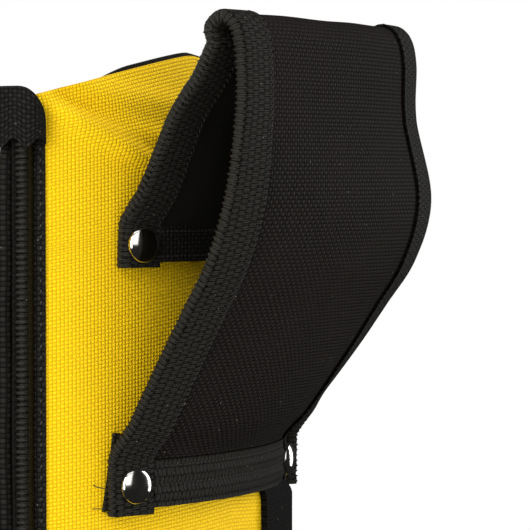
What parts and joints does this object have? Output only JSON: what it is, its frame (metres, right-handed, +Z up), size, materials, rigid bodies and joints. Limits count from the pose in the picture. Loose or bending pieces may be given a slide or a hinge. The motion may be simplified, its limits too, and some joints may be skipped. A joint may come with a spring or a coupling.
{
  "type": "electrician tool pouch",
  "caption": "Upright fabric tool pouch with a back belt loop held by rivets, front tool pockets, elastic loops, a snap strap and a swinging D-ring.",
  "frame": {"origin": "middle of the base panel's flat underside", "axes": "+Z up, +Y towards the wearer (the belt loop's side), +X to the wearer's right hand seen from behind the loop"},
  "size_m": [0.1256, 0.1102, 0.2405],
  "materials": {
    "yellow_nylon": "coarse plain weave",
    "black_nylon": "coarse plain weave",
    "black_tape": "ribbed woven tape",
    "coated_lining": "smooth coated",
    "stiff_board": "matt sheet",
    "nickel": "polished nickel"
  },
  "bodies": {
    "pouch": {"back_stiffener": "stiff_board", "back_webbing": "black_tape", "base_board": "stiff_board", "base_panel": "black_nylon", "body_lining": "coated_lining", "body_wrap": "yellow_nylon", "compartment_gusset_left": "yellow_nylon", "compartment_gusset_right": "yellow_nylon", "front_panel": "black_nylon", "front_panel_binding": "black_tape", "loop_binding_left": "black_tape", "loop_binding_right": "black_tape", "loop_lining": "coated_lining", "loop_lower_tape": "black_tape", "loop_panel": "black_nylon", "loop_upper_webbing": "black_tape", "middle_panel": "black_nylon", "middle_panel_binding": "black_tape", "organiser_binding": "black_tape", "organiser_front": "black_nylon", "organiser_gusset_left": "black_nylon", "organiser_gusset_right": "black_nylon", "plier_pocket_binding_left": "black_tape", "plier_pocket_binding_right": "black_tape", "plier_pocket_floor_left": "black_nylon", "plier_pocket_floor_right": "black_nylon", "plier_pocket_left": "black_nylon", "plier_pocket_right": "black_nylon", "rim_tape": "black_tape", "ring_keeper": "black_tape", "rivet_cap_1": "nickel", "rivet_cap_2": "nickel", "rivet_cap_3": "nickel", "rivet_cap_4": "nickel", "rivet_inner_cap_1": "nickel", "rivet_inner_cap_2": "nickel", "rivet_inner_cap_3": "nickel", "rivet_inner_cap_4": "nickel", "snap_stud": "nickel", "tape_strap_anchor": "black_tape", "tool_loops_left": "black_tape", "tool_loops_right": "black_tape"},
    "ring": {"d_ring": "nickel"},
    "strap": {"tape_strap": "black_tape", "snap_cap": "nickel", "snap_socket": "nickel"}
  },
  "joints": [
    {"name": "d_ring_swing", "type": "hinge", "parent": "pouch", "child": "ring", "pos_m": [-0.02594, 0.03318, 0.06], "axis": [0.9658, 0.2591, 0], "range_deg": [0, 165]},
    {"name": "tape_strap_swing", "type": "hinge", "parent": "pouch", "child": "strap", "pos_m": [0, -0.0258, 0.1824], "axis": [-1, 0, 0], "range_deg": [0, 150]}
  ]
}
